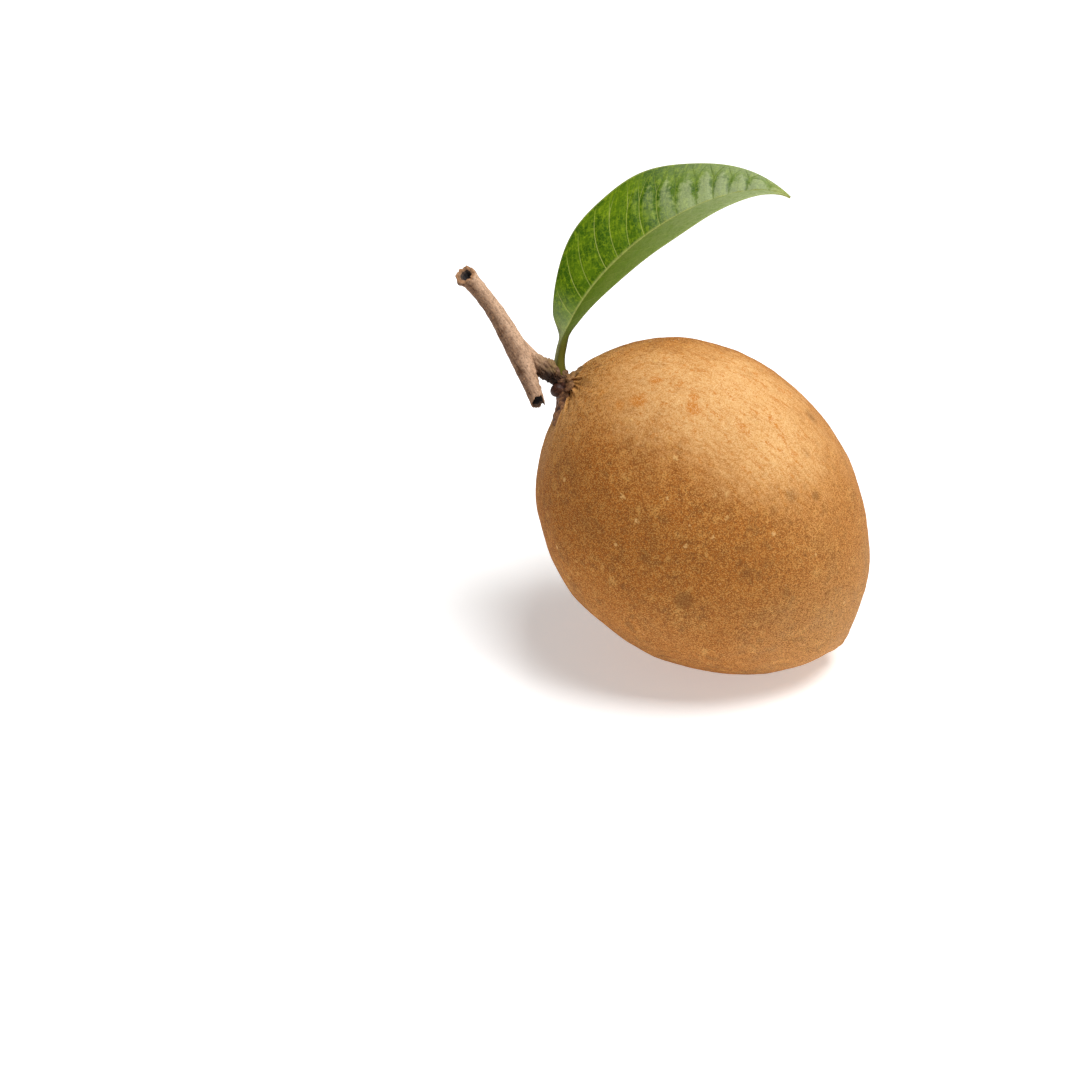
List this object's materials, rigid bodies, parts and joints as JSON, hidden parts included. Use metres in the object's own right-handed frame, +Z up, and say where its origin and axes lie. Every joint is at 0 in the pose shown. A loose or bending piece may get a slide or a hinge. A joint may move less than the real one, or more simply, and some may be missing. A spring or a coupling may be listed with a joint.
{
  "type": "sapodilla",
  "caption": "Whole brown egg-shaped sapodilla lying on its side, with its dry calyx, a forked bit of broken twig and a glossy green leaf arching over it.",
  "frame": {"origin": "middle of the flat spot on the fruit's underside, which it lies on", "axes": "+Z up from the surface it lies on; the stem end looks up and towards -X, the blossom end down and towards +X"},
  "size_m": [0.0782, 0.062, 0.0857],
  "materials": {
    "fruit_skin": "matte",
    "dry_calyx": "matte",
    "twig_bark": "matte",
    "leaf_blade": "satin"
  },
  "bodies": {
    "root": {"fruit": "fruit_skin", "calyx": "dry_calyx", "twig": "twig_bark", "leaf": "leaf_blade"}
  },
  "joints": []
}
